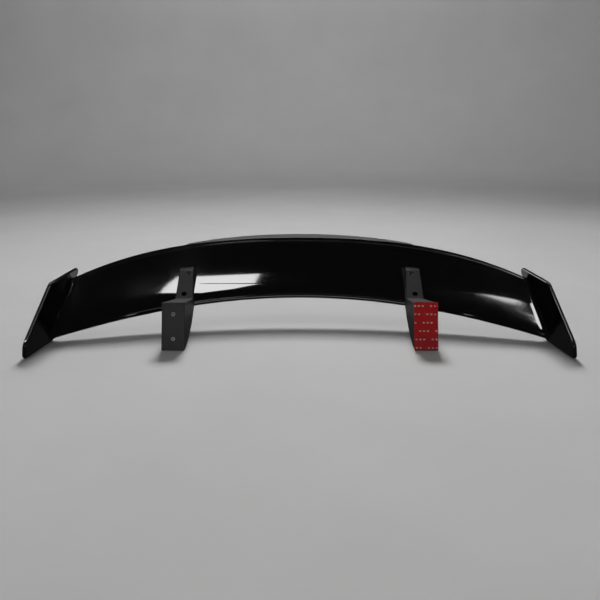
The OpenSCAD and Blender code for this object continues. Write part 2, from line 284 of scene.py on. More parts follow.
def bevel(obj, width, segments=3, angle=25):
    mod = obj.modifiers.new("edge", "BEVEL")
    mod.width = width * MM
    mod.segments = segments
    mod.limit_method = "ANGLE"
    mod.angle_limit = math.radians(angle)
    mod.use_clamp_overlap = False
    apply_modifiers(obj)


def join_close(obj, distance):
    """Merges points closer than distance, and faces that lie in one plane."""
    bm = bmesh.new()
    bm.from_mesh(obj.data)
    bmesh.ops.remove_doubles(bm, verts=bm.verts, dist=distance * MM)
    bmesh.ops.dissolve_limit(bm, angle_limit=math.radians(0.05), verts=bm.verts, edges=bm.edges)
    bm.to_mesh(obj.data)
    bm.free()


def copies(name, source, frames):
    """One mesh with a copy of source in each frame (a matrix), and source is used up."""
    bm = bmesh.new()
    for m in frames:
        part = source.data.copy()
        part.transform(m)
        if m.determinant() < 0:
            part.flip_normals()
        bm.from_mesh(part)
        bpy.data.meshes.remove(part)
    mesh = bpy.data.meshes.new(name)
    bm.to_mesh(mesh)
    bm.free()
    bpy.data.objects.remove(source)
    obj = bpy.data.objects.new(name, mesh)
    bpy.context.scene.collection.objects.link(obj)
    return obj


def mirrored(name, obj):
    twin = bpy.data.objects.new(name, obj.data.copy())
    twin.data.transform(Matrix.Scale(-1, 4, (1, 0, 0)))
    twin.data.flip_normals()
    bpy.context.scene.collection.objects.link(twin)
    return twin


def finish_piece(obj, material, nodes, sharp=32):
    """Smooth shading with crisp edges, one material, and its place in the frame."""
    obj.data.shade_smooth()
    obj.data.set_sharp_from_angle(angle=math.radians(sharp))
    normals = obj.modifiers.new("normals", "WEIGHTED_NORMAL")
    normals.keep_sharp = True
    obj.data.materials.clear()
    obj.data.materials.append(material)
    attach(obj, "root")
    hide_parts(*nodes)


# ---- materials ----


class Shader:
    """A principled material whose textures run in the object's own metres."""

    def __init__(self, name, **sockets):
        self.material = bpy.data.materials.new(name)
        self.material.use_nodes = True
        self.tree = self.material.node_tree
        self.surface = self.tree.nodes["Principled BSDF"]
        self.place = self.node("ShaderNodeTexCoord").outputs["Object"]
        for socket, value in sockets.items():
            self.surface.inputs[socket.replace("_", " ")].default_value = value

    def node(self, kind, **settings):
        made = self.tree.nodes.new(kind)
        for key, value in settings.items():
            setattr(made, key, value)
        return made

    def link(self, out, into):
        self.tree.links.new(out, into)

    def stretched(self, scale):
        mapping = self.node("ShaderNodeMapping")
        mapping.inputs["Scale"].default_value = scale
        self.link(self.place, mapping.inputs["Vector"])
        return mapping.outputs["Vector"]

    def noise(self, scale, detail=3.0, roughness=0.5, place=None):
        made = self.node("ShaderNodeTexNoise")
        made.inputs["Scale"].default_value = scale
        made.inputs["Detail"].default_value = detail
        made.inputs["Roughness"].default_value = roughness
        self.link(place or self.place, made.inputs["Vector"])
        return made.outputs["Fac"]

    def cells(self, scale, feature="F1"):
        made = self.node("ShaderNodeTexVoronoi", feature=feature)
        made.inputs["Scale"].default_value = scale
        self.link(self.place, made.inputs["Vector"])
        return made.outputs["Distance"]

    def ranged(self, value, low, high, to_low=0.0, to_high=1.0):
        made = self.node("ShaderNodeMapRange")
        self.link(value, made.inputs["Value"])
        made.inputs["From Min"].default_value = low
        made.inputs["From Max"].default_value = high
        made.inputs["To Min"].default_value = to_low
        made.inputs["To Max"].default_value = to_high
        return made.outputs["Result"]

    def maths(self, operation, a, b):
        made = self.node("ShaderNodeMath", operation=operation)
        for socket, value in zip(made.inputs, (a, b)):
            if isinstance(value, (int, float)):
                socket.default_value = value
            else:
                self.link(value, socket)
        return made.outputs["Value"]

    def blend(self, share, first, second):
        """A colour between first and second, each an RGB tuple or a colour output."""
        made = self.node("ShaderNodeMix", data_type="RGBA")
        self.link(share, made.inputs["Factor"])
        for name, value in (("A", first), ("B", second)):
            socket = [s for s in made.inputs if s.name == name and s.type == "RGBA"][0]
            if isinstance(value, tuple):
                socket.default_value = (*value, 1)
            else:
                self.link(value, socket)
        return [s for s in made.outputs if s.type == "RGBA"][0]

    def colour(self, out):
        self.link(out, self.surface.inputs["Base Color"])

    def rough(self, out):
        self.link(out, self.surface.inputs["Roughness"])

    def bumps(self, *layers):
        """layers are (height output, strength, distance in metres), finest last."""
        normal = None
        for height, strength, distance in layers:
            made = self.node("ShaderNodeBump")
            made.inputs["Strength"].default_value = strength
            made.inputs["Distance"].default_value = distance
            self.link(height, made.inputs["Height"])
            if normal:
                self.link(normal, made.inputs["Normal"])
            normal = made.outputs["Normal"]
        self.link(normal, self.surface.inputs["Normal"])


def gloss_paint():
    s = Shader("gloss_black_paint", Coat_Weight=0.6, Coat_Roughness=0.03, IOR=1.5)
    depth = s.blend(s.noise(5), (0.0025, 0.0025, 0.0027), (0.0055, 0.0055, 0.006))
    speck = s.maths("MULTIPLY", s.ranged(s.cells(420), 0.12, 0.05), s.ranged(s.noise(30), 0.62, 0.7))
    s.colour(s.blend(speck, depth, (0.09, 0.09, 0.085)))
    smudge = s.ranged(s.noise(9, 4, 0.6), 0.35, 0.75, 0.02, 0.06)
    scratch = s.ranged(s.noise(3, 2, place=s.stretched((9, 260, 260))), 0.66, 0.72, 0, 0.06)
    s.rough(s.maths("ADD", smudge, scratch))
    s.bumps((s.noise(160, 2), 0.03, 0.0002))
    return s.material


def leg_plastic():
    s = Shader("leg_plastic_moulded", IOR=1.5, Specular_IOR_Level=0.4)
    shade = s.blend(s.noise(24, 5, 0.6), (0.036, 0.036, 0.038), (0.052, 0.052, 0.054))
    scuff = s.ranged(s.noise(6, 6, 0.7, place=s.stretched((30, 9, 9))), 0.62, 0.72)
    s.colour(s.blend(s.maths("MULTIPLY", scuff, 0.5), shade, (0.11, 0.11, 0.112)))
    s.rough(s.ranged(s.noise(60, 4), 0.3, 0.7, 0.42, 0.6))
    s.bumps((s.cells(1500), 0.25, 0.0001), (s.noise(3200, 2), 0.2, 0.00008))
    return s.material


def core_plastic():
    s = Shader("core_plastic_moulded", IOR=1.5)
    s.colour(s.blend(s.noise(40, 4), (0.33, 0.32, 0.285), (0.4, 0.39, 0.35)))
    s.rough(s.ranged(s.noise(90), 0.3, 0.7, 0.45, 0.65))
    s.bumps((s.noise(1400, 2), 0.2, 0.0001))
    return s.material


def steel(name, light, dark, low, high, metallic=1.0):
    s = Shader(name, Metallic=metallic)
    s.colour(s.blend(s.noise(300, 4), light, dark))
    brushed = s.noise(40, 3, place=s.stretched((6, 60, 60)))
    s.rough(s.ranged(brushed, 0.3, 0.7, low, high))
    s.bumps((s.noise(2500, 3), 0.15, 0.00005))
    return s.material


def rubber(name, dark, light, grain, strength):
    s = Shader(name, IOR=1.5, Specular_IOR_Level=0.25)
    s.colour(s.blend(s.noise(120, 4), dark, light))
    s.rough(s.ranged(s.noise(80), 0.3, 0.7, 0.7, 0.9))
    s.bumps((s.cells(grain), strength, 0.0002))
    return s.material


DOT_PITCH = 9.4        # dots of a group, centre to centre
GROUP_PITCH = 39.0     # one group of three to the next
GROUP_START = 30.5     # where a group begins in the row nearest the toe
ROW_PITCH = 20.2       # rows of groups
ROW_LOW = 4.1          # the row nearest the toe is cut off by this much
ROW_SHIFT = 9.0        # each row starts this much further along
DOT_HALF = (2.5, 1.8)  # half length and half height of a dot


def liner_film():
    """Red film with plain white dots in groups of three; the map runs in millimetres across and up."""
    s = Shader("red_liner_film", IOR=1.48, Specular_IOR_Level=0.25)
    split = s.node("ShaderNodeSeparateXYZ")
    s.link(s.node("ShaderNodeUVMap", uv_map="film").outputs["UV"], split.inputs["Vector"])
    across = s.maths("SUBTRACT", split.outputs["X"], GROUP_START)
    up = s.maths("ADD", split.outputs["Y"], ROW_LOW)
    row = s.maths("FLOOR", s.maths("DIVIDE", up, ROW_PITCH), 0)
    v = s.maths("SUBTRACT", s.maths("SUBTRACT", up, s.maths("MULTIPLY", row, ROW_PITCH)), ROW_PITCH / 2)
    slid = s.maths("SUBTRACT", across, s.maths("MULTIPLY", row, ROW_SHIFT))
    along = s.maths("FLOORED_MODULO", slid, GROUP_PITCH)
    dot = s.maths("MINIMUM", s.maths("FLOOR", s.maths("DIVIDE", along, DOT_PITCH), 0), 2)
    middle = s.maths("MULTIPLY", s.maths("ADD", dot, 0.5), DOT_PITCH)
    h = s.maths("DIVIDE", s.maths("SUBTRACT", along, middle), DOT_HALF[0])
    k = s.maths("DIVIDE", v, DOT_HALF[1])
    round_off = s.maths("ADD", s.maths("POWER", s.maths("ABSOLUTE", h, 0), 3.0),
                        s.maths("POWER", s.maths("ABSOLUTE", k, 0), 3.0))
    ink = s.maths("MULTIPLY", s.ranged(round_off, 1.15, 0.75), s.ranged(s.noise(900), 0.2, 0.5, 0.65, 1))
    red = s.blend(s.noise(25, 4), (0.62, 0.002, 0.006), (0.74, 0.003, 0.009))
    s.colour(s.blend(ink, red, (0.72, 0.62, 0.62)))
    s.rough(s.ranged(s.noise(45, 4), 0.3, 0.7, 0.28, 0.45))
    s.bumps((s.noise(70, 3), 0.25, 0.0004))
    return s.material


PAINT = gloss_paint()
PLASTIC = leg_plastic()
CORE = core_plastic()
BLACK_STEEL = steel("black_oxide_steel", (0.05, 0.05, 0.052), (0.03, 0.03, 0.032), 0.35, 0.5)
ZINC_STEEL = steel("zinc_plated_steel", (0.66, 0.66, 0.64), (0.5, 0.5, 0.49), 0.22, 0.38, 0.6)
GASKET = rubber("gasket_sheet", (0.010, 0.010, 0.010), (0.02, 0.02, 0.02), 900, 0.2)
FOAM = rubber("closed_cell_foam", (0.045, 0.045, 0.045), (0.075, 0.075, 0.073), 1300, 0.6)
FILM = liner_film()

# ---- blade skins ----
COVE = 11.0            # radius of the moulded fillet where the blade meets an endplate
SEAM_ROUND = 1.3       # rounded shoulders of the seam's groove
TE_ROUND = 1.5
CREASE_DEEP = 0.12     # shallow straight crease between the legs
CREASE_HALF = 0.9
CREASE_REACH = 0.45    # half length, as a share of the half span
CREASE_FADE = 0.03     # it fades out over this share
SPAN_STEPS = 150
FADE_REAR, FADE_NOSE = 0.16, 0.12    # the fillet changes size over these shares of the chord
NOSE_SHARE = 0.55      # its size right at the nose
SEAM_GAP = 0.5         # the two skins stay this far apart at each seam


def stations():
    """Blade stations, dense in the fillets next to the endplates."""
    end = 1 - COVE / LE_HALF
    arc = [1 - COVE * (1 - math.sin(math.pi / 2 * k)) / LE_HALF for k in steps(10)][1:]
    body = [mix(-end, end, k) for k in steps(SPAN_STEPS)]
    return [-t for t in reversed(arc)] + body + arc


def cove_height(t):
    s = (1 - abs(t)) * LE_HALF
    return 0.0 if s >= COVE else COVE - math.sqrt(max(0, COVE ** 2 - (COVE - s) ** 2))


def ease(k):
    k = max(0.0, min(1.0, k))
    return k * k * (3 - 2 * k)


def cove_share(p):
    """The fillet fades out towards the trailing edge and is smaller round the nose."""
    c = p.x / CHORD_REF
    return ease((1.0 - c) / FADE_REAR) * (NOSE_SHARE + (1 - NOSE_SHARE) * ease(c / FADE_NOSE))


def outward(ring, i):
    v = ring[(i + 1) % len(ring)] - ring[i - 1]
    return Vector((v.y, -v.x)).normalized()


def skin_ring(t, ring, outer_count):
    """ring on the blade at station t, its first outer_count points swelled into the fillet."""
    h = cove_height(t)
    out = []
    for i, p in enumerate(ring):
        if h and i < outer_count:
            p = p + outward(ring, i) * h * cove_share(p)
        out.append(stood(on_blade(t, p)))
    return out


def inset_path(path, d):
    """path moved d to its left."""
    out = []
    for i, p in enumerate(path):
        v = (path[min(i + 1, len(path) - 1)] - path[max(i - 1, 0)]).normalized()
        out.append(p + Vector((-v.y, v.x)) * d)
    return out


def upper_skin():
    """From the rear seam round the trailing edge, over the top and round the nose to the front seam."""
    rear = [face(c, -1) for c in (SEAM_REAR, 0.97, 1)]
    top = [face(0.985 * (1 - k) ** 2, 1) for k in steps(46)]
    nose = [face(SEAM_FRONT * k * k, -1) for k in steps(8)[1:]]
    outer = rear + [face(1, 1)] + top + nose
    outline_end = len(outer) - 1
    thin = [p for p in top[::2] if p.x < 0.9 * CHORD_REF] + nose
    inner = list(reversed(inset_path(thin, WALL)))
    rear_wall = [face(0.92, 1, -WALL - 1.2), face(SEAM_REAR, -1, -WALL)]
    radii = {0: SEAM_ROUND, 2: TE_ROUND, 3: TE_ROUND, outline_end: SEAM_ROUND}
    ring = rounded(outer + inner + rear_wall, radii)
    outer_count = outline_end + 1 + len(radii) * CORNER_STEPS
    return loft("upper_skin_shell", [skin_ring(t, ring, outer_count) for t in stations()])


def crease_place(t):
    """Where the straight crease crosses the section, in millimetres of chord."""
    return CHORD_REF * (0.2 + 0.6 * t * t)


def lower_skin():
    """The underside between the two seams, with its shallow crease; its four screw holes are cut in
    build_blade.
    """
    first = SEAM_FRONT * CHORD_REF + SEAM_GAP
    last = SEAM_REAR * CHORD_REF - SEAM_GAP
    groove = [-2.4, -1.4, -0.7, -0.3, 0, 0.3, 0.7, 1.4, 2.4]     # points across the crease
    clear = 4                                                    # the even spacing stops this far from it
    rings = []
    for t in stations():
        reach = min(abs(t), CREASE_REACH)
        middle = crease_place(reach)
        deep = CREASE_DEEP * max(0.0, min(1.0, (CREASE_REACH - abs(t)) / CREASE_FADE))
        front = [mix(first, middle - clear, k) for k in steps(12)]
        rear = [mix(middle + clear, last, k) for k in steps(44)]
        outer = []
        for x in front + [middle + g for g in groove] + rear:
            p = face(x / CHORD_REF, -1)
            p.y += deep * math.exp(-((x - middle) / CREASE_HALF) ** 2)
            outer.append(p)
        path = [face(mix(first, last, k) / CHORD_REF, -1) for k in steps(40)]
        inner = list(reversed(inset_path(path, WALL)))
        ring = rounded(outer + inner, {0: SEAM_ROUND, len(outer) - 1: SEAM_ROUND})
        rings.append(skin_ring(t, ring, len(outer) + 2 * CORNER_STEPS))
    return loft("lower_skin_shell", rings)


# ---- frames of the fasteners ----
SCREW_TILT = math.atan(BLADE_RISE / (te(LEG_T).y - le(LEG_T).y))


def frame_at(point, axis, side=1):
    """Matrix that puts Z along axis at point, both in the wing's own axes; side -1 is the left twin."""
    spin = turned_up(axis).to_track_quat("Z", "Y").to_matrix().to_4x4()
    m = Matrix.Translation(stood(point)) @ spin
    return Matrix.Scale(side, 4, (1, 0, 0)) @ m if side < 0 else m


def leg_hole_frames(side=1, which=(0, 1)):
    axis = Vector((0, -math.sin(SCREW_TILT), math.cos(SCREW_TILT)))
    return [frame_at(on_blade(LEG_T, face(HOLE_C[i], -1)), axis, side) for i in which]


def insert_frames(side=1):
    x = LEG_INNER + FOOT_W / 2
    spots = [FOOT_LEN / 2 + k * INSERT_PITCH for k in (-0.5, 0.5)]
    return [frame_at(Vector((x, u, RIM_DEEP)), Vector((0, 0, 1)), side) for u in spots]


TOE_ANGLE = math.atan(PLATE_TOE)
CANT_ANGLE = math.atan(PLATE_CANT * math.cos(TOE_ANGLE))
PLATE_AFT = Vector((-math.sin(TOE_ANGLE), math.cos(TOE_ANGLE), 0))
PLATE_UP = Vector((-math.sin(CANT_ANGLE) * math.cos(TOE_ANGLE), -math.sin(CANT_ANGLE) * math.sin(TOE_ANGLE),
                   math.cos(CANT_ANGLE)))
PLATE_OUT = Vector((math.cos(CANT_ANGLE) * math.cos(TOE_ANGLE), math.cos(CANT_ANGLE) * math.sin(TOE_ANGLE),
                    math.sin(CANT_ANGLE)))


def on_plate(a, b, out):
    """Point on an endplate: a rearward, b up from the leading edge's end, out from its inner face."""
    return le(1) + PLATE_AFT * a + PLATE_UP * b + PLATE_OUT * (GAP + out)


def plate_frames(side=1):
    made = []
    for c in PLATE_SCREW_C:
        q = on_blade(1, Vector((c * CHORD_REF, camber(c)))) - le(1)
        made.append(frame_at(on_plate(q.dot(PLATE_AFT), q.dot(PLATE_UP), 0), PLATE_OUT, side))
    return made


def borer(radius, low, high, chamfer=0.0, at=None):
    """A drill from low to high; chamfer widens it around the height at."""
    profile = [(0, low), (radius, low)]
    if chamfer:
        profile += [(radius, at - chamfer), (radius + chamfer, at), (radius + chamfer, high)]
    else:
        profile += [(radius, high)]
    return turned("drill", profile + [(0, high)], 48)


def placed(obj, m):
    obj.data.transform(m)
    if m.determinant() < 0:
        obj.data.flip_normals()
    return obj


# ---- endplates ----
PLATE_EDGE = 3.0       # rounded rim of an endplate
RIM_FLAT = 1.5         # ring of flat face kept inside the rim


def plate_rings():
    """Rings of the endplate from its inner face to its outer one, with a full round on both rims."""
    def flat(u, w):
        x = le(1).x - PLATE_TOE * (u - le(1).y) - PLATE_CANT * (w - le(1).z)
        v = Vector((x, u, w)) - le(1)
        return Vector((v.dot(PLATE_AFT), v.dot(PLATE_UP)))
    slope = math.tan(LEAN)
    corners = [flat(-NOSE_DROP * slope, -NOSE_DROP), flat(*CHIN), flat(*HEEL), flat(*TAIL),
               flat(BROW_HEIGHT * slope, BROW_HEIGHT)]
    radii = [PLATE_ROUND, CHIN_ROUND, HEEL_ROUND, PLATE_ROUND, PLATE_ROUND]
    count = len(corners)

    def outline(inset):
        out = []
        for i, p in enumerate(corners):
            r = radii[i]
            before, after = corners[i - 1], corners[(i + 1) % count]
            a, b = (before - p).normalized(), (after - p).normalized()
            centre = p + (a + b).normalized() * r / math.sin(math.acos(a.dot(b)) / 2)
            out += [centre + (q - centre) * (r - inset) / r for q in round_corner(before, p, after, r, 14)]
        return out
    rim = [(PLATE_EDGE * (1 - math.sin(a)), PLATE_EDGE * (1 - math.cos(a)))
           for a in [math.pi / 2 * k for k in steps(8)]]
    flat_inset = PLATE_EDGE + RIM_FLAT
    levels = [(flat_inset, 0.0)] + rim
    levels += [(d, PLATE_THICK - z) for d, z in reversed(rim)] + [(flat_inset, PLATE_THICK)]
    return [[stood(on_plate(p.x, p.y, z)) for p in outline(d)] for d, z in levels]


PLATE_SEAT = PLATE_THICK - PLATE_SCREW_D * 0.6


def endplate():
    plate = loft("right_endplate_shell", plate_rings())
    tools = []
    for m in plate_frames():
        tools.append(placed(borer(PLATE_SCREW_D / 2 + 0.25, -2, PLATE_THICK), m))
        tools.append(placed(borer(PLATE_SCREW_D + 0.3, PLATE_SEAT, PLATE_THICK + 2, 0.5, PLATE_THICK), m))
    cut(plate, tools)
    return plate


# ---- trailing lip ----
LIP_ROOT = 0.93        # share of the chord where its top meets the blade
LIP_SLOPE = 0.86       # rise of its rear face for each millimetre rearward
LIP_FALL = 0.62        # share of its height lost towards the ends
LIP_RAMP = 0.06        # each end ramps down over this share


def lip_size(t):
    a = abs(t) / LIP_END
    return LIP_KICK * (1 - LIP_FALL * a * a) * min(1, (1.02 - a) / LIP_RAMP)


def lip_ring(t):
    """The lip's section: a curved top that leaves the blade smoothly, a blunt edge and a sloped rear face."""
    s = lip_size(t)
    up = Vector((0, 0, GAP))
    root, tip = on_blade(t, face(LIP_ROOT, 1)) + up, on_blade(t, face(1, 1)) + up
    edge_low = tip + Vector((0, s, s * LIP_SLOPE))
    edge_top = tip + Vector((0, s - LIP_THICK * 0.55, s * LIP_SLOPE + min(s, LIP_THICK)))
    bend = mix(root, tip, 0.5) + Vector((0, 0, 0.8 + s * 0.36))
    top = [(1 - k) ** 2 * edge_top + 2 * k * (1 - k) * (2 * bend - (edge_top + root) / 2) + k * k * root
           for k in steps(12)]
    r = min(0.9, s * 0.2)
    corner = round_corner(tip, edge_low, edge_top, r, 5) + round_corner(edge_low, edge_top, top[3], r, 5)
    return [tip, mix(tip, edge_low, 0.5)] + corner + top[3:] + [mix(root, tip, 0.5)]


def trailing_lip():
    ends = [LIP_END * (1 - 0.12 * k * k) for k in steps(10)]
    body = [mix(-ends[-1], ends[-1], k) for k in steps(90)]
    spots = [-t for t in ends[:-1]] + body + list(reversed(ends[:-1]))
    return loft("trailing_lip_shell", [[stood(p) for p in lip_ring(t)] for t in spots])


# ---- legs ----
LEG_FRONT_EDGE = [(0, 0), (9, 28), (24, 60), (44, 97), (66, 130), (88, 156), (109, 176), (118, 200)]
ARM_END, ARM_TIP, ARM_START = (228, 222), (214, 196), (135, 148)
ARM_INSET = 3          # arm's inner side from the foot's
ARM_MID = LEG_INNER + ARM_INSET + ARM_W_FRONT / 2
ARM_ROUND = 9.0        # inner corner between arm and foot
FOOT_SQUARE = 6        # the foot is full width up to here
HEEL_POINT = (FOOT_LEN + 4, 40)
EDGE_ROUND = 1.6
CLEAR = 5              # a cutter's blank passes the leg by this much
ABOVE = 250            # higher than any of the leg
CUT_C = (0.03, 0.7)    # stretch of the chord that the blade takes off the leg
CUT_HALF = 0.08        # and its half width, as a share of the half span
CUT_AHEAD, CUT_TALL, CUT_SLICES = 22, 60, 6


def leg_blank():
    front = curve_through([Vector(p) for p in LEG_FRONT_EDGE], 3)
    rest = [Vector(p) for p in (ARM_END, ARM_TIP, ARM_START, HEEL_POINT, (FOOT_LEN, 0))]
    side = rounded(front + rest, {len(front) + 2: ARM_ROUND}, 5)
    arm_outer = LEG_INNER + ARM_INSET + ARM_W_FRONT
    across = [Vector(p) for p in (
        (LEG_INNER, 0), (LEG_INNER + FOOT_W, 0), (LEG_INNER + FOOT_W, FOOT_SQUARE),
        (arm_outer, ARM_START[1]), (arm_outer, ABOVE), (LEG_INNER + 1, ABOVE))]
    plan = [Vector(p) for p in (
        (LEG_INNER - 1, -1), (LEG_INNER + FOOT_W + 1, -1), (LEG_INNER + FOOT_W + 1, FOOT_LEN + 4),
        (ARM_MID + ARM_W_FRONT / 2, ARM_START[0] + 6), (ARM_MID + ARM_W_REAR / 2, ARM_END[0] + 1),
        (ARM_MID - ARM_W_REAR / 2, ARM_END[0] + 1), (LEG_INNER + 1, ARM_START[0] + 6),
        (LEG_INNER - 1, FOOT_LEN + 4))]
    blank = prism("right_leg_body", side, lambda p: stood((LEG_INNER - CLEAR, p.x, p.y)),
                  lambda p: stood((LEG_INNER + FOOT_W + CLEAR, p.x, p.y)))
    far = ABOVE - CLEAR
    tools = [prism("t", across, lambda p: stood((p.x, -CLEAR, p.y)), lambda p: stood((p.x, far, p.y))),
             prism("t", plan, lambda p: stood((p.x, p.y, -2)), lambda p: stood((p.x, p.y, 258)))]
    cut(blank, tools, "INTERSECT")
    join_close(blank, 0.5)
    return blank


def blade_cutter():
    """What the blade and its gasket take off the top of the leg."""
    d = GASKET_THICK + 2 * GAP
    low = [face(CUT_C[0], -1, d) - Vector((CUT_AHEAD, 0))] + [face(mix(*CUT_C, k), -1, d) for k in steps(24)]
    ring = low + [Vector((p.x, CUT_TALL)) for p in reversed(low)]
    slices = [LEG_T + CUT_HALF * k / CUT_SLICES for k in range(-CUT_SLICES, CUT_SLICES + 1)]
    return loft("t", [[stood(on_blade(t, p)) for p in ring] for t in slices])


def sole_cutter():
    x0, x1 = LEG_INNER + RIM_W, LEG_INNER + FOOT_W - RIM_W
    corners = [Vector(p) for p in ((x0, RIM_W), (x1, RIM_W), (x1, FOOT_LEN - RIM_W), (x0, FOOT_LEN - RIM_W))]
    outline = rounded(corners, {i: 3.0 for i in range(4)})
    return prism("t", outline, lambda p: stood((p.x, p.y, -2)), lambda p: stood((p.x, p.y, RIM_DEEP)))


def leg():
    body = leg_blank()
    bevel(body, EDGE_ROUND)
    tools = [blade_cutter(), sole_cutter()]
    for m in insert_frames():
        tools.append(placed(borer(INSERT_D / 2 + 0.05, -1, INSERT_LEN + 0.5), m))
    for i, m in enumerate(leg_hole_frames()):
        tools.append(placed(borer(THREAD_D / 2 + 0.3, -HEAD_SEAT - 1, 8), m))
        tools.append(placed(borer(BORES[i] / 2, -HEAD_SEAT - 60, -HEAD_SEAT), m))
    cut(body, tools)
    return body


# ---- fasteners ----
KNURL_DEEP = 0.12      # knurling of the inserts' outer bands
GRIP_DEEP = 0.1        # knurling round a cap screw's head
THREAD_DEEP = 0.35     # a cap screw's thread
CAP_KEY, PLATE_KEY = 5.0, 3.4        # hexagon sockets across their flats
CAP_REACH, CAP_TIP = 10.4, 2.3       # past the leg, and the radius of the tip


def ridge(angle, z):
    """How near the thread's crest a point is, from 0 to 1."""
    turn = (z / PITCH - angle / (2 * math.pi)) % 1.0
    return abs(2 * turn - 1)


def hex_socket(key, levels):
    """A six-sided cutter, key across its flats; levels are (height, share of that width)."""
    corner = key / 2 / math.cos(math.pi / 6)
    flats = [Vector((math.cos(math.pi / 3 * k), math.sin(math.pi / 3 * k))) * corner for k in range(6)]
    return loft("t", [[Vector((p.x * w, p.y * w, z)) * MM for p in flats] for z, w in levels])


def thread(base, depth, low, high):
    """Radius of a screw thread between the heights low and high, fading in and out over one turn."""
    def radius(angle, r, z):
        if abs(r - base) > 0.01:
            return r
        fade = max(0.0, min(1.0, (z - low) / PITCH, (high - z) / PITCH))
        return r + depth * fade * ridge(angle, z)
    return radius


def foot_insert():
    """Threaded insert: two knurled bands outside, a thread inside, a chamfered face."""
    bore = THREAD_D / 2 - 0.5
    outer = INSERT_D / 2
    shell = [(bore + 0.6, 0.0), (outer - 0.4, 0.0), (outer, 0.4), (outer, 2), (outer - 0.5, 2.4),
             (outer - 0.5, 7), (outer, 7.4), (outer, 10.2), (outer - 0.5, 10.6), (outer - 0.5, 13),
             (outer, 13.4), (outer, INSERT_LEN - 0.4), (outer - 0.4, INSERT_LEN)]
    floor = INSERT_LEN - 2
    inner = [(0, INSERT_LEN), (0, floor), (bore, floor)]
    inner += [(bore, mix(floor - 0.2, 0.6, k)) for k in steps(60)]
    cut_thread = thread(bore, 0.5, 0.5, floor)

    def radius(angle, r, z):
        if r > outer - 0.05 and (6 < z < 11 or z > 12.5):
            return r - KNURL_DEEP * (0.5 + 0.5 * math.cos(36 * angle))
        return cut_thread(angle, r, z)
    return turned("insert", shell + inner, 144, radius)


def cap_screw(seat, shank, head_r, head_h, key, length, tip_r):
    """Socket head screw along Z: the head's underside at seat, the shank above it."""
    top = seat - head_h
    profile = [(0, top), (head_r - 0.9, top), (head_r - 0.45, top + 0.12), (head_r - 0.12, top + 0.45),
               (head_r, top + 0.9), (head_r, seat - 0.3), (head_r - 0.3, seat), (shank, seat)]
    profile += [(shank, mix(seat + 0.4, seat + length - 1, k)) for k in steps(50)]
    profile += [(tip_r, seat + length), (0, seat + length)]

    def radius(angle, r, z):
        if abs(r - head_r) < 0.001:
            return r - GRIP_DEEP * (0.5 + 0.5 * math.cos(40 * angle))
        if abs(r - shank) < 0.001 and z > seat + 0.4:
            return r - THREAD_DEEP * ridge(angle, z)
        return r
    screw = turned("screw", profile, 80, radius)
    deep = head_h * 0.6
    cut(screw, [hex_socket(key, [(top - 1, 1.0), (top + deep, 1.0), (top + deep + 1.2, 0.05)])])
    return screw


def washer():
    inner, outer = THREAD_D / 2 + 0.2, THREAD_D
    high = WASHER_THICK
    profile = [(inner + 0.2, 0), (outer - 0.25, 0), (outer, 0.25), (outer, high - 0.25), (outer - 0.25, high),
               (inner + 0.2, high), (inner, high - 0.2), (inner, 0.2)]
    ring = turned("washer", profile, 72)
    ring.data.transform(Matrix.Translation((0, 0, (0.1 - HEAD_SEAT - WASHER_THICK - GAP) * MM)))
    return ring


def plate_screw():
    """Low head screw seen from outside the endplate, along Z: shank first, socket in its far face."""
    seat, shank, head = PLATE_SEAT + 0.1, PLATE_SCREW_D / 2, PLATE_SCREW_D
    high = PLATE_SCREW_D * 0.5
    profile = [(0, -7.2), (1.4, -7.2), (shank - 0.5, -6.4), (shank - 0.5, 0.2), (shank, GAP + 0.1),
               (shank, seat), (head - 0.2, seat), (head, seat + 0.25), (head, seat + high - 0.9),
               (head - 0.3, seat + high - 0.35), (head - 1.1, seat + high), (0, seat + high)]
    screw = turned("plate_screw", profile, 64)
    cut(screw, [hex_socket(PLATE_KEY, [(seat + 0.5, 0.05), (seat + 0.9, 1.0), (seat + high + 1, 1.0)])])
    return screw


# ---- gasket, foam tape and liner ----
TAPE_HOLLOW = 0.35     # the cut sides of the foam
RIPPLE = 0.10          # the film's waviness
PEEL = 1.6             # how far its free corner lifts off
PEEL_FROM, PEEL_SPAN = 1.72, 0.28    # where along the diagonal it starts, and over how much


def gasket():
    low, high = GAP, GAP + GASKET_THICK
    cs = [mix(0.04, 0.58, k) for k in steps(30)]
    ring = [face(c, -1, low) for c in cs] + [face(c, -1, high) for c in reversed(cs)]
    half = ARM_W_FRONT * 0.48 / LE_HALF
    sheet = loft("right_gasket_sheet", [[stood(on_blade(LEG_T + half * k / 4, p)) for p in ring]
                                        for k in range(-4, 5)])
    cut(sheet, [placed(borer(THREAD_D / 2 + 0.5, -8, 8), m) for m in leg_hole_frames()])
    return sheet


def foam_tape():
    """A pad in the sole's recess whose cut sides are slightly hollow."""
    inset = RIM_W + 0.5
    x0, x1 = LEG_INNER + inset, LEG_INNER + FOOT_W - inset
    corners = [Vector(p) for p in ((x0, inset), (x1, inset), (x1, FOOT_LEN - inset), (x0, FOOT_LEN - inset))]
    middle = (corners[0] + corners[2]) / 2
    top, low = RIM_DEEP - 0.1, -TAPE_PROUD
    rings = []
    for k in steps(8):
        hollow = TAPE_HOLLOW * math.sin(math.pi * k)
        outline = rounded(corners, {i: 1.5 for i in range(4)})
        share = 1 - hollow / 40
        rings.append([stood(((p.x - middle.x) * share + middle.x, (p.y - middle.y) * share + middle.y,
                             mix(low, top, k))) for p in outline])
    return loft("foam_tape_pad", rings)


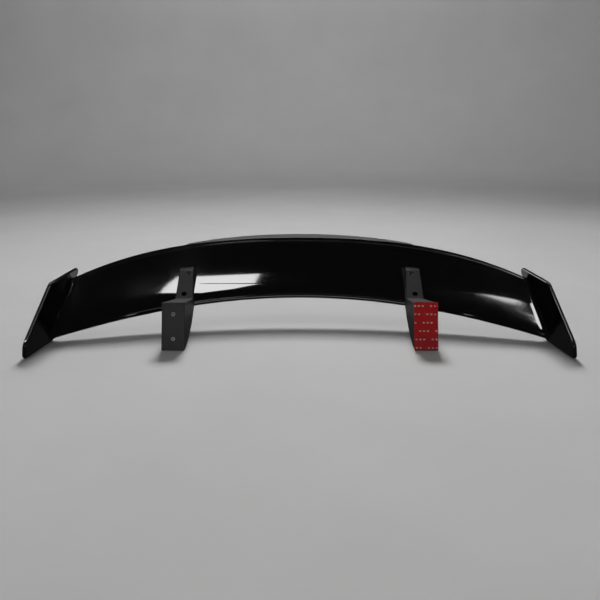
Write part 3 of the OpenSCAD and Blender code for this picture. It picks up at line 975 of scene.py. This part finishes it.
def liner():
    """Thin film over the tape: not quite flat, its rear corner lifting off a little."""
    x0, x1 = LEG_INNER - LINER_OVER, LEG_INNER + FOOT_W + LINER_OVER
    u0, u1 = LINER_OVER, FOOT_LEN + LINER_OVER / 2
    face_w = -TAPE_PROUD - LINER_THICK - 0.05
    across, along = 40, 76

    def wave(x, u):
        a, b = (x - x0) / (x1 - x0), (u - u0) / (u1 - u0)
        ripple = RIPPLE * math.sin(7 * a + 5 * b) * math.sin(9 * b + 1.3)
        peel = PEEL * max(0.0, (a + b - PEEL_FROM) / PEEL_SPAN) ** 2
        return ripple - peel - 0.1
    verts, spots, faces = [], [], []
    for level in (0, LINER_THICK):
        for j in range(along + 1):
            for i in range(across + 1):
                x, u = mix(x0, x1, i / across), mix(u0, u1, j / along)
                verts.append(stood((x, u, face_w + level + wave(x, u))))
                spots.append((x - x0, u - u0))
    row = across + 1
    sheet = row * (along + 1)
    for j in range(along):
        for i in range(across):
            a = j * row + i
            faces.append((a, a + 1, a + 1 + row, a + row))
            faces.append((a + sheet, a + row + sheet, a + 1 + row + sheet, a + 1 + sheet))
    border = list(range(row)) + [j * row + across for j in range(1, along + 1)]
    border += [along * row + i for i in range(across - 1, -1, -1)]
    border += [j * row for j in range(along - 1, 0, -1)]
    for i, a in enumerate(border):
        b = border[(i + 1) % len(border)]
        faces.append((a, a + sheet, b + sheet, b))
    film = new_object("tape_liner_film", verts, faces)
    layer = film.data.uv_layers.new(name="film")
    for loop in film.data.loops:
        layer.data[loop.index].uv = spots[loop.vertex_index]
    return film


# ---- build ----


def build_blade():
    finish_piece(upper_skin(), PAINT, ["blade_upper_skin"])
    lower = lower_skin()
    holes = []
    for side in (-1, 1):
        holes += [placed(borer(THREAD_D / 2 + 0.3, -5, 7.5), m) for m in leg_hole_frames(side)]
    cut(lower, holes)
    finish_piece(lower, PAINT, ["blade_lower_skin"])
    finish_piece(trailing_lip(), PAINT, ["trailing_lip"])
    right = endplate()
    left = mirrored("left_endplate_shell", right)
    finish_piece(right, PAINT, ["right_endplate"])
    finish_piece(left, PAINT, ["left_endplate"])


def build_legs():
    right = leg()
    left = mirrored("left_leg_body", right)
    finish_piece(right, PLASTIC, ["right_leg"])
    finish_piece(left, PLASTIC, ["left_leg"])
    right = gasket()
    left = mirrored("left_gasket_sheet", right)
    finish_piece(right, GASKET, ["right_leg_gasket"])
    finish_piece(left, GASKET, ["left_leg_gasket"])


def build_fasteners():
    head_under = -HEAD_SEAT - WASHER_THICK - GAP
    for side, name in ((-1, "left"), (1, "right")):
        screws = cap_screw(head_under, THREAD_D / 2, THREAD_D * 0.825, THREAD_D, CAP_KEY,
                           CAP_REACH - head_under, CAP_TIP)
        parts = (
            (foot_insert(), insert_frames(side), "foot_inserts", ZINC_STEEL, "zinc_steel"),
            (screws, leg_hole_frames(side), "leg_screws", BLACK_STEEL, "black_steel"),
            (washer(), leg_hole_frames(side), "leg_washers", ZINC_STEEL, "zinc_steel"),
            (plate_screw(), plate_frames(side), "endplate_screws", BLACK_STEEL, "black_steel"),
        )
        for source, frames, what, material, slot in parts:
            made = copies(f"{name}_{what}_turned", source, frames)
            finish_piece(made, material, [f"{name}_{what}"])


def build_tape():
    finish_piece(foam_tape(), FOAM, ["right_foot_tape"])
    finish_piece(liner(), FILM, ["right_tape_liner"])


def dress_hidden_nodes():
    """The CAD pieces inside the blade stay, with their own materials."""
    for node in ("left_end_rib", "right_end_rib", "left_mount_block", "right_mount_block"):
        dress(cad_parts[node], CORE)
    for node in ("left_blade_inserts", "right_blade_inserts"):
        dress(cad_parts[node], ZINC_STEEL)


def dress(obj, material):
    if not obj.material_slots:
        obj.data.materials.append(material)
    for s in obj.material_slots:
        s.material = material


build_blade()
build_legs()
build_fasteners()
build_tape()
dress_hidden_nodes()

# ---- stage and light ----
ROOM_RADIUS = 5.5
ROOM_FILLET = 1.2
ROOM_HEIGHT = 4.5


def stage_material():
    s = Shader("stage_pale_grey", Specular_IOR_Level=0.1)
    s.colour(s.blend(s.noise(2.5, 6, 0.6), (0.47, 0.47, 0.47), (0.55, 0.55, 0.55)))
    s.rough(s.ranged(s.noise(8), 0.3, 0.7, 0.8, 0.95))
    s.bumps((s.noise(90, 4), 0.12, 0.001))
    return s.material


def add_stage():
    """A round floor that turns up into a plain wall."""
    bend = ROOM_RADIUS - ROOM_FILLET
    profile = [(0.0, 0.0), (2.5, 0.0), (bend, 0.0)]
    for k in steps(10)[1:]:
        a = math.pi / 2 * k
        profile.append((bend + ROOM_FILLET * math.sin(a), ROOM_FILLET * (1 - math.cos(a))))
    profile.append((ROOM_RADIUS, ROOM_HEIGHT))
    segments = 96
    verts = [(r * math.sin(2 * math.pi * i / segments), r * math.cos(2 * math.pi * i / segments), z)
             for i in range(segments) for r, z in profile]
    n = len(profile)
    faces = [(i * n + j, i * n + j + 1, ((i + 1) % segments) * n + j + 1, ((i + 1) % segments) * n + j)
             for i in range(segments) for j in range(n - 1)]
    mesh = bpy.data.meshes.new("stage")
    mesh.from_pydata(verts, [], faces)
    mesh.shade_smooth()
    stage = bpy.data.objects.new("stage", mesh)
    bpy.context.scene.collection.objects.link(stage)
    weld(stage)
    mesh.materials.append(stage_material())
    stage.visible_glossy = False      # the paint mirrors the lights, not the room
    stage.visible_shadow = False      # the lights stand outside the wall


def softbox(name, place, target, size, radiance, glossy=True):
    """A rectangular light at place facing target; radiance is how bright it looks."""
    data = bpy.data.lights.new(name, "AREA")
    data.shape = "RECTANGLE"
    data.size, data.size_y = size
    data.energy = radiance * math.pi * size[0] * size[1]
    light = bpy.data.objects.new(name, data)
    light.location = place
    aim = Vector(target) - Vector(place)
    light.rotation_euler = aim.to_track_quat("-Z", "Y").to_euler()
    light.visible_glossy = glossy
    bpy.context.scene.collection.objects.link(light)
    return light


def soft_panel(name, corners, radiance):
    """A glowing sheet of that plan outline high above the floor, which the paint mirrors as a crisp patch."""
    mesh = bpy.data.meshes.new(name)
    mesh.from_pydata([(x, y, PANEL_HEIGHT) for x, y in corners], [], [tuple(range(len(corners)))])
    glow = bpy.data.materials.new(name)
    glow.use_nodes = True
    surface = glow.node_tree.nodes["Principled BSDF"]
    surface.inputs["Base Color"].default_value = (0, 0, 0, 1)
    surface.inputs["Emission Color"].default_value = (1, 1, 1, 1)
    surface.inputs["Emission Strength"].default_value = radiance
    mesh.materials.append(glow)
    panel = bpy.data.objects.new(name, mesh)
    panel.visible_camera = False
    panel.visible_diffuse = False
    bpy.context.scene.collection.objects.link(panel)


PANEL_HEIGHT = 6.0
LEFT_PANEL = [(0.31, -2.05), (0.45, -3.05), (0.8, -3.7), (1.25, -4.05), (1.34, -3.2), (0.95, -2.3)]
RIGHT_PANEL = [(-1.41, -2.85), (-1.64, -3.15), (-1.96, -3.6), (-2.66, -4.5), (-4.8, -6.9), (-5.6, -6.2),
               (-2.6, -2.85)]
KEY_BACK, KEY_HEIGHT = 5.4, 4.7
KEY_SPREAD = math.radians(58)
WASH_SPREAD = math.radians(120)
WALL_WASH = (6.0, 1.8, 0.3, 1.8)     # brightness of the lights on the back, right, front and left wall
WASH_OUT, WASH_HEIGHT, WASH_TARGET = 2.2, 4.2, 2.4
WORLD_LIGHT = 0.02


def add_lights():
    world = bpy.data.worlds.new("world")
    world.use_nodes = True
    world.node_tree.nodes["Background"].inputs["Color"].default_value = (1, 1, 1, 1)
    world.node_tree.nodes["Background"].inputs["Strength"].default_value = WORLD_LIGHT
    bpy.context.scene.world = world
    soft_panel("panel_left", LEFT_PANEL, 11)
    soft_panel("panel_right", RIGHT_PANEL, 10)
    key = softbox("back_key", (0.0, KEY_BACK, KEY_HEIGHT), (0, -1.0, 0), (1.8, 1.3), 8.4, glossy=False)
    key.data.spread = KEY_SPREAD
    # the gleams show only in reflections; the one on the floor lights up the back of the blade
    gleams = [
        softbox("back_gleam", (0.0, KEY_BACK, KEY_HEIGHT), (0, 0, 0), (1.8, 1.3), 7),
        softbox("side_gleam", (5.0, -1.0, 3.8), (0, 0, 0.3), (0.8, 0.4), 6),
        softbox("front_gleam", (0.0, -5.3, 0.5), (0, 0, 0.2), (6.0, 0.4), 4),
        softbox("rear_gleam_left", (-2.4, 4.4, 1.7), (0, 0, 0.1), (0.9, 2.4), 4),
        softbox("rear_gleam_right", (2.8, 4.2, 1.7), (0, 0, 0.1), (0.6, 2.4), 3),
        softbox("rear_floor_gleam", (0.0, 0.8, 0.01), (0, 0.8, 1), (2.4, 1.3), 0.25),
    ]
    for gleam in gleams:
        gleam.visible_diffuse = False
    softbox("overhead", (0.0, 1.8, PANEL_HEIGHT), (0, 0.6, 0), (5.0, 2.4), 1.2)
    softbox("ceiling_fill", (0.0, -1.5, PANEL_HEIGHT), (0, 0, 0), (5.0, 5.0), 0.2, glossy=False)
    for k in range(4):
        a = math.pi / 2 * k
        out = Vector((math.sin(a), math.cos(a), 0))
        place = out * WASH_OUT + Vector((0, 0, WASH_HEIGHT))
        target = out * ROOM_RADIUS + Vector((0, 0, WASH_TARGET))
        wash = softbox(f"wall_wash_{k}", place, target, (2.5, 1.0), WALL_WASH[k], glossy=False)
        wash.data.spread = WASH_SPREAD
    bpy.context.scene.view_settings.view_transform = "Standard"


add_stage()
add_lights()
